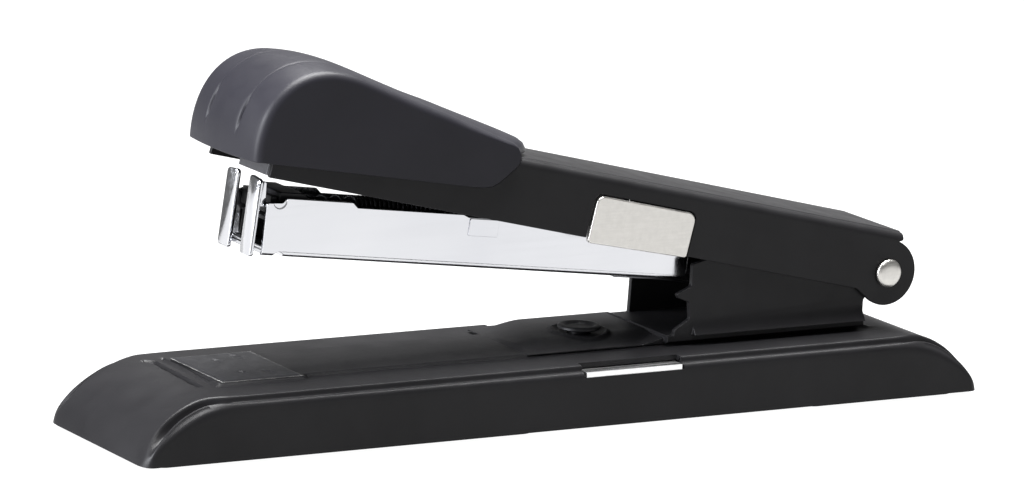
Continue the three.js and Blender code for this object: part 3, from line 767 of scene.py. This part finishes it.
def make_bracket():
    inner, outer = WALL["inner"], WALL["outer"]
    floor = BRACKET_FLOOR
    columns = spread(TONGUE["left"], TONGUE["right"], 50)
    rows = spread(TONGUE["front"], TONGUE["rear"], 66)
    bracket = pressed_sheet("bracket_pressing", columns, rows, tongue_height, 13.3, ON_BASE)
    parts = [
        block("floor", -outer, outer, floor["front"], floor["rear"], floor["bottom"], floor["top"], ON_BASE)
    ]
    for side, front in ((1, NEAR_WALL_FRONT), (-1, FAR_WALL_FRONT)):
        x0, x1 = sorted((side * inner, side * outer))
        parts.append(prism("wall", bracket_side(front), x0, x1, from_side, ON_BASE))
        bend = [(side * 10, 15.2), (side * 13.4, 15.2), (side * outer, 17.2), (side * 10, 17.2)]
        parts.append(prism("bend", bend, WALL["rear"], WALL["bend_front"], from_front, ON_BASE))
    fuse(bracket, *parts)
    clearance = block("inside", -inner, inner, 30, 90, floor["top"], 40, ON_BASE)
    bore = lathe("bore", [(BORE, -20), (BORE, 20)], Matrix.Translation(PIN))
    holes = [vertical_hole(node, BORE, 5, 25) for node in ("bracket_rivet_front", "bracket_rivet_rear")]
    carve(bracket, clearance, bore, *holes)
    soften(bracket, 0.22, 2, 50)
    stand_for(bracket, "hinge_bracket")


def make_rivets():
    for name in ("bracket_rivet_front", "bracket_rivet_rear"):
        low, high = node_box(name)
        place = Matrix.Translation((0, (low.y + high.y) / 2, 0))
        rim, low_z, top = high.x, low.z, high.z
        foot = rim - 0.8
        profile = [
            (0.01, low_z), (foot - 0.4, low_z), (foot, low_z + 0.3), (foot, low_z + 0.9),
            (2.2, low_z + 0.9), (2.2, top - 0.9), (rim - 0.15, top - 0.9), (rim, top - 0.7),
            (rim - 0.05, top - 0.3), (rim - 0.45, top - 0.05), (rim - 0.9, top), (rim - 1.3, top - 0.12),
            (rim - 1.7, top - 0.5), (rim - 2.2, top - 0.62), (0.01, top - 0.55),
        ]  # fmt: skip
        rivet = smooth_faces(lathe(name + "_turned", profile, place, axis="Z"), 35)
        stand_for(rivet, name)


def make_pin():
    head = [
        (2.3, 13.5), (2.95, 13.62), (3.05, 13.95), (2.85, 14.3), (2.2, 14.58), (1.2, 14.68), (0.01, 14.7),
    ]  # fmt: skip
    profile = [(radius, -x) for radius, x in reversed(head)] + head
    pin = smooth_faces(lathe("hinge_pin_turned", profile, Matrix.Translation(PIN), 64), 50)
    stand_for(pin, "hinge_pin")


# ---- magazine ----
def channel(name, outer, wall, bottom, top, rear, front, bend, place):
    """A U-shaped channel open at the top, with round bends, from one s to another."""
    outline = rounded(
        [
            (-outer, top, 0),
            (-outer, bottom, bend),
            (outer, bottom, bend),
            (outer, top, 0),
            (outer - wall, top, 0),
            (outer - wall, bottom + wall, max(0.1, bend - wall)),
            (wall - outer, bottom + wall, max(0.1, bend - wall)),
            (wall - outer, top, 0),
        ]
    )
    return prism(name, outline, rear, front, from_front, place)


SLEEVE = {"outer": 8.25, "wall": 0.8, "bottom": -5.16, "top": 7.0, "rear": 47.2, "front": 149.5}


def make_sleeve():
    sleeve = channel(
        "sleeve_pressing", SLEEVE["outer"], SLEEVE["wall"], SLEEVE["bottom"], SLEEVE["top"],
        SLEEVE["rear"], SLEEVE["front"], 1.1, ON_MAGAZINE,
    )  # fmt: skip
    # The side view that the walls are trimmed to: a raised stretch near the nose and a tapered tail.
    side = rounded(
        [
            (148.8, -5.3, 0.3),
            (149.3, 5.7, 0.6),
            (145.6, 5.9, 0.5),
            (144.6, 6.9, 0.5),
            (129.4, 6.9, 0.4),
            (128.2, 5.9, 0.4),
            (103, 5.9, 0.3),
            (101.8, 5.4, 0.3),
            (47.2, 5.4, 0.5),
            (47.2, -4.2, 1.0),
            (52, -4.8, 4),
            (66, -5.3, 0),
        ]
    )
    keep_within(sleeve, prism("side", side, -20, 20, from_side, ON_MAGAZINE))
    at_dimple = ON_MAGAZINE @ Matrix.Translation((0, -144.9, -5.3))
    at_scoop = ON_MAGAZINE @ Matrix.Translation((0, -146.3, 6.2))
    cutters = [
        lathe("dimple", [(1.15, -20), (1.15, 20)], at_dimple),
        lathe("scoop", [(1.5, 8.0), (1.5, 20)], at_scoop),
        lathe("scoop", [(1.5, -20), (1.5, -8.0)], at_scoop),
        block("mouth", -7.2, 7.2, -160, -147.6, -10, 10, ON_MAGAZINE),
    ]
    carve(sleeve, *cutters)
    soften(sleeve, 0.14, 2)
    stand_for(sleeve, "magazine_sleeve")
    make_sleeve_tabs()


def make_sleeve_tabs():
    """Small stamped tongues on the sleeve's flanks, where it clips to the channel inside."""
    for side, label in ((1, "left"), (-1, "right")):
        x0, x1 = sorted((side * 8.2, side * 8.5))
        outline = rounded([(101.5, 1.6, 0.3), (101.5, 5.2, 0.3), (94.5, 5.2, 0.3), (94.5, 1.6, 0.3)])
        tab = prism("sleeve_tab_" + label, outline, x0, x1, from_side, ON_MAGAZINE)
        soften(tab, 0.1, 2)
        finish_piece(tab, "magazine", "chrome_plate", MATERIALS["chrome_plate"])


LINER = {"outer": 7.15, "wall": 0.6, "bottom": -4.06, "top": 5.4, "rear": 8, "front": 148, "bend": 0.9}
FLANGE = {"inner": 2.5, "rear": 150.2, "front": 151.0}


def nose_flange(side):
    """One of the two bright flanges that guide the driver, with the shoulder that carries it."""
    outer, wall = LINER["outer"], LINER["wall"]
    x0, x1 = sorted((side * outer, side * (outer - wall)))
    shoulder = rounded(
        [
            (146, 4.7, 0), (150.8, 4.7, 0), (150.8, 9.9, 0.5), (149.4, 9.9, 0.5),
            (149.0, 6.0, 0.3), (146, 5.3, 0),
        ]
    )  # fmt: skip
    carrier = prism("shoulder", shoulder, x0 + 0.05, x1 - 0.05, from_side, ON_MAGAZINE)
    near, far = side * FLANGE["inner"], side * outer
    outline = rounded([(near, -5.7, 0.8), (far, -5.7, 0.8), (far, 10.2, 0.9), (near, 10.6, 0.9)])
    face = prism("face", outline, FLANGE["rear"], FLANGE["front"], from_front, ON_MAGAZINE)
    return soften(carrier, 0.16, 2), soften(face, 0.16, 2)


def make_channel():
    """The inner channel: its walls stop behind the driver's path, and two flanges guide the driver."""
    outer, wall, bottom, top = (LINER[key] for key in ("outer", "wall", "bottom", "top"))
    liner = channel(
        "staple_channel_pressing", outer, wall, bottom, top,
        LINER["rear"], LINER["front"], LINER["bend"], ON_MAGAZINE,
    )  # fmt: skip
    ears, flanges = [], []
    for side in (1, -1):
        x0, x1 = sorted((side * outer, side * (outer - wall)))
        ear = rounded([(9, bottom, 0), *arc((0, 0), 5.2, -110, -250, 16), (9, top, 0)])
        ears.append(prism("ear", ear, x0, x1, from_side, ON_MAGAZINE))
        flanges += nose_flange(side)
    fuse(liner, *ears)
    carve(liner, lathe("bore", [(BORE, -20), (BORE, 20)], ON_MAGAZINE))
    soften(liner, 0.16, 2)
    for part in (liner, *flanges):
        apply_modifiers(part)
    attach(liner, *flanges)
    stand_for(liner, "staple_channel")


TURN_ALONG = Matrix.Rotation(-pi / 2, 4, "X")
PUSHER_HALF_WIDTH = 6.25


def make_pusher():
    outline = rounded(
        [
            (145.6, -2.6, 0.4), (145.6, 7.8, 0.5), (139.8, 7.8, 0.8), (138.6, 6.6, 0.5), (138.6, -2.6, 0.4),
        ]
    )  # fmt: skip
    pusher = prism("pusher_block", outline, -PUSHER_HALF_WIDTH, PUSHER_HALF_WIDTH, from_side, ON_MAGAZINE)
    saddle = block("saddle", -5.7, 5.7, -160, -130, -10, 2.7, ON_MAGAZINE)
    along_rod = ON_MAGAZINE @ Matrix.Translation((0, -160, 5.5)) @ TURN_ALONG
    carve(pusher, saddle, lathe("rod_hole", [(1.1, 0), (1.1, 40)], along_rod, axis="Z"))
    soften(pusher, 0.25)
    stand_for(pusher, "pusher")


COIL = {"radius": 1.4, "wire": 0.36, "height": 5.5, "rear": 25, "close_to": 124.5, "front": 138.0}
COIL_TURNS = {"close": 92, "open": 4, "steps": 12, "narrowed": 0.72}


def make_pusher_spring():
    """Close turns for most of its length, then a few drawn-out ones up to the pusher."""
    rear, close_to, front = COIL["rear"], COIL["close_to"], COIL["front"]
    steps = COIL_TURNS["steps"]
    along = spread(rear, close_to, COIL_TURNS["close"] * steps)
    along += spread(close_to, front, COIL_TURNS["open"] * steps)[1:]
    path = []
    for i, s in enumerate(along):
        angle = 2 * pi * i / steps
        radius = COIL["radius"] * mix(1.0, COIL_TURNS["narrowed"], smooth(close_to, front, s))
        path.append(Vector((radius * cos(angle), -s, COIL["height"] + radius * sin(angle))))
    spring = smooth_faces(tube("pusher_coil", path, COIL["wire"], ON_MAGAZINE, 8), 60)
    finish_piece(spring, "magazine", "blackened_steel", MATERIALS["blackened_steel"], "pusher_spring")
    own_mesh(spring)


# ---- arm ----
ARM = {"outer": 13.3, "wall": 1.0, "top": 9.1, "bend": 2.3, "rear": -9, "front": 153}


def arm_section():
    """The arm's cross-section: round bends and a shallow step that lifts the middle of its top."""
    outer, wall, top, bend = ARM["outer"], ARM["wall"], ARM["top"], ARM["bend"]
    low = -9
    step, lift = 11.4, 0.22
    shoulder = top - lift
    inner, ceiling = outer - wall, top - wall
    corners = [
        (outer, low, 0), (outer, shoulder, bend - 0.5), (step, shoulder, 0.25), (step - 0.4, top, 0.3),
        (0.4 - step, top, 0.3), (-step, shoulder, 0.25), (-outer, shoulder, bend - 0.5), (-outer, low, 0),
        (-inner, low, 0), (-inner, ceiling, bend - wall), (inner, ceiling, bend - wall), (inner, low, 0),
    ]  # fmt: skip
    return rounded(corners, radians(6))


def arm_side():
    """The arm's side view: a straight channel that ends in a round lobe about the pin."""
    lobe = arc((0, 0), 7.1, -66, -260, 44)
    return rounded(
        [
            (152.9, -4.7, 0.3),
            (6.6, -4.6, 0.6),
            *lobe,
            (-2.0, 7.3, 0.2),
            (-2.2, 7.6, 0.2),
            (-2.2, 10, 0),
            (126, 10, 0),
            (126, 6.0, 0.5),
            (152.3, 6.0, 0.5),
        ]
    )


WINDOW = {"rear": 50.7, "front": 76.0, "top": 4.8}


def make_arm():
    arm = prism("arm_pressing", arm_section(), ARM["rear"], ARM["front"], from_front, ON_ARM)
    keep_within(arm, prism("side", arm_side(), -20, 20, from_side, ON_ARM))
    window = rounded(
        [
            (WINDOW["front"], -9, 0),
            (WINDOW["front"], WINDOW["top"], 1.6),
            (WINDOW["rear"], WINDOW["top"], 1.6),
            (WINDOW["rear"], -9, 0),
        ]
    )
    cutters = [
        prism("window", window, -20, 20, from_side, ON_ARM),
        lathe("bore", [(BORE, -20), (BORE, 20)], ON_ARM),
        block("rear_gap", -12.3, 12.3, -1, 9, -9, 8.0, ON_ARM),
    ]
    carve(arm, *cutters)
    soften(arm, 0.2, 2, 38)
    stand_for(arm, "arm")


def make_side_plates():
    outline = rounded(
        [
            (75.7, -5.6, 0.8), (75.7, 4.5, 1.7), (51.0, 4.6, 1.9), (51.0, -4.9, 0.6),
        ]
    )  # fmt: skip
    for side, name in ((1, "side_plate_left"), (-1, "side_plate_right")):
        x0, x1 = sorted((side * 12.6, side * 13.75))
        plate = prism(name + "_pressing", outline, x0, x1, from_side, ON_ARM)
        soften(plate, 0.3, 3)
        stand_for(plate, name)


# ---- head cap ----
CAP = {"half_width": 15.2, "edge_radius": 1.6, "crown": 1.3, "rear_bow": 7.4, "fullness": 0.9}
GROOVES = {"x": 6.6, "low": 3.2, "high": 10.2, "half_width": 0.55, "depth": 0.7}


def cap_profile():
    """The cap's side outline as (s, t) points, from the foot of the front over the top to the rear."""
    front = bezier((156.6, -2.0), (158.9, 9.0), (153.6, 17.6), (142.6, 17.8), 26)
    top = bezier((142.6, 17.8), (136.0, 17.9), (128.5, 15.0), (99.4, 11.4), 34)
    rear = [(98.3, 11.0), (97.5, 10.2), (97.1, 9.3), (97.0, 8.2)]
    foot = [(97.8, 6.8), (99.2, 5.1), (100.8, 3.3), (102.2, 2.2), (104, 1.7), (106.5, 1.4)]
    return front + top[1:] + rear + foot


def bezier(a, b, c, d, count):
    """Points along the cubic curve with the end points a and d and the handles b and c."""
    points = []
    for share in spread(0, 1, count):
        left = 1 - share
        weights = (left**3, 3 * left**2 * share, 3 * left * share**2, share**3)
        points.append(tuple(sum(w * p[k] for w, p in zip(weights, (a, b, c, d))) for k in (0, 1)))
    return points


def cap_columns():
    """(x, inset) across the cap: flat in the middle, a round edge at each side."""
    radius = CAP["edge_radius"]
    edge = []
    for k in range(7):
        angle = radians(15 * k)
        edge.append((CAP["half_width"] - radius + radius * sin(angle), radius * (1 - cos(angle))))
    inner = spread(0, CAP["half_width"] - radius, 16)[:-1]
    across = [GROOVES["x"] + GROOVES["half_width"] * k for k in (-1.15, -0.75, -0.35, 0, 0.35, 0.75, 1.15)]
    half = sorted({round(x, 3) for x in inner + across})
    right = [(x, 0.0) for x in half] + edge
    return [(-x, d) for x, d in right[:0:-1]] + right


def groove_depth(x, t, on_front):
    """The two panel lines: crisp low on the front, and faint where they carry on over the top."""
    away = abs(abs(x) - GROOVES["x"])
    across = 1 - smooth(0.0, GROOVES["half_width"], away)
    low, high = GROOVES["low"], GROOVES["high"]
    crisp = smooth(low, low + 1.2, t) * (1 - smooth(high - 2.5, high, t))
    faint = 0.16 * smooth(high - 2, high + 1, t)
    return GROOVES["depth"] * across * (crisp * on_front + faint)


CAP_MIDDLE = Vector((128, 4))
# The last tenth of the outline is the cap's foot, which keeps its drawn shape.
FOOT_SHARE = 0.9
CAP_HOLLOW = [
    (155.6, -9, 0), (156.6, 8, 6), (150.4, 15.6, 6), (142.4, 16.5, 5), (132, 14.2, 6),
    (112, 10.0, 0), (80, 9.4, 0), (80, -9, 0),
]  # fmt: skip
CAP_HOLLOW_HALF_WIDTH = 13.45


def outline_normal(profile, i):
    """The direction out of the cap at the i-th point of its outline."""
    ahead = profile[min(i + 1, len(profile) - 1)]
    behind = profile[max(i - 1, 0)]
    along = Vector((ahead[0] - behind[0], ahead[1] - behind[1])).normalized()
    out = Vector((along.y, -along.x))
    return -out if out.dot(Vector(profile[i]) - CAP_MIDDLE) < 0 else out


def cap_row(s, t, out, above, columns):
    """Points across the cap at one place on its outline. above is false on its foot."""
    full = min(1.0, max(0.0, (s - 90) / 26)) if above else 0.0
    on_rear = 1 - smooth(99, 122, s) if t > 9.2 else 0.0
    on_front = 1 - smooth(12, 15, t) if s > 150 else 0.0
    row = []
    for x, inset in columns:
        bulge = 1 - (x / CAP["half_width"]) ** 2
        lift = (CAP["fullness"] + CAP["crown"] * bulge - inset) * full
        if above:
            lift -= groove_depth(x, t, on_front) * smooth(112, 125, s)
        place = Vector((s, t)) + out * lift
        place.x -= CAP["rear_bow"] * max(0.0, 1 - (x / ARM["outer"]) ** 2) * on_rear
        row.append((x, -place.x, place.y))
    return row


def make_cap():
    profile, columns = cap_profile(), cap_columns()
    count, width = len(profile), len(columns)
    points = []
    for i, (s, t) in enumerate(profile):
        above = i / (count - 1) < FOOT_SHARE
        points += cap_row(s, t, outline_normal(profile, i), above, columns)
    faces = grid_faces(count, width)
    # The side faces and the underside close the shape before its inside is cut out.
    left = [i * width for i in range(count)]
    right = [i * width + width - 1 for i in range(count)]
    faces += [tuple(left), tuple(reversed(right))]
    faces.append(tuple(range((count - 1) * width, count * width)) + tuple(range(width - 1, -1, -1)))
    cap = outward(mesh_object("head_cap_moulding", points, faces, ON_ARM))
    half = CAP_HOLLOW_HALF_WIDTH
    carve(cap, prism("inside", rounded(CAP_HOLLOW), -half, half, from_side, ON_ARM))
    soften(cap, 0.25, 2, 50)
    stand_for(cap, "head_cap")


# ---- carried-over pieces ----
def dress_frame():
    """The CAD nodes that still show get their material and softened edges."""
    for name, node in frame["nodes"].items():
        if node.hide_render:
            continue
        node.data.materials.clear()
        node.data.materials.append(MATERIALS[SLOT_OF[name]])
        weld = node.modifiers.new("weld", "WELD")
        weld.merge_threshold = 0.002 * MM
        bevel = node.modifiers.new("soft edges", "BEVEL")
        bevel.width = 0.12 * MM
        bevel.segments = 2
        bevel.limit_method = "ANGLE"
        bevel.angle_limit = radians(40)


# ---- surroundings, light and camera ----
def make_floor():
    size = 6.0
    floor = mesh_object("floor", [(-1, -1, 0), (1, -1, 0), (1, 1, 0), (-1, 1, 0)], [(0, 1, 2, 3)], Matrix())
    floor.scale = (size / MM, size / MM, 1)
    floor.location.z = -0.00005
    shader = Shader("pale_floor", Roughness=0.6)
    shader.surface.inputs["Base Color"].default_value = (0.05, 0.05, 0.05, 1)
    shader.surface.inputs["Emission Color"].default_value = (1, 1, 1, 1)
    shader.surface.inputs["Emission Strength"].default_value = 1.0
    floor.data.materials.append(shader.material)


def make_world():
    world = bpy.data.worlds.new("studio")
    world.use_nodes = True
    background = world.node_tree.nodes["Background"]
    background.inputs["Color"].default_value = (1, 1, 1, 1)
    background.inputs["Strength"].default_value = 0.2
    bpy.context.scene.world = world


def area_light(name, place, target, size, power, colour=(1, 1, 1)):
    data = bpy.data.lights.new(name, "AREA")
    data.shape = "RECTANGLE"
    data.size, data.size_y = size
    data.energy = power
    data.color = colour
    light = bpy.data.objects.new(name, data)
    light.location = place
    light.rotation_mode = "QUATERNION"
    light.rotation_quaternion = (Vector(target) - Vector(place)).to_track_quat("-Z", "Y")
    bpy.context.collection.objects.link(light)


def make_lights():
    area_light("overhead", (-0.1, 0.1, 1.0), (0, 0, 0.03), (0.6, 1.0), 70)
    area_light("nose_side", (-0.1, -1.3, 0.5), (0, -0.08, 0.06), (0.9, 0.7), 60, (0.93, 0.95, 1.0))


CAMERA = {
    "place": Vector((1.1644, -0.6898, 0.3186)),
    "target": Vector((0, -0.0046, 0.0352)),
    "roll": radians(2.4),
    "lens": 233.47,
    "sensor": 36.0,
}


def make_camera():
    data = bpy.data.cameras.new("camera")
    data.lens = CAMERA["lens"]
    data.sensor_width = CAMERA["sensor"]
    data.clip_start, data.clip_end = 0.05, 50
    camera = bpy.data.objects.new("camera", data)
    turn = (CAMERA["target"] - CAMERA["place"]).to_track_quat("-Z", "Y").to_matrix().to_4x4()
    roll = Matrix.Rotation(CAMERA["roll"], 4, "Z")
    camera.matrix_world = Matrix.Translation(CAMERA["place"]) @ turn @ roll
    bpy.context.collection.objects.link(camera)
    bpy.context.scene.camera = camera


make_camera()
make_base()
make_anvil()
make_bracket()
make_rivets()
make_pin()
make_sleeve()
make_channel()
make_pusher()
make_pusher_spring()
make_arm()
make_side_plates()
make_cap()
dress_frame()
make_floor()
make_world()
make_lights()
bpy.context.scene.view_settings.view_transform = "Standard"
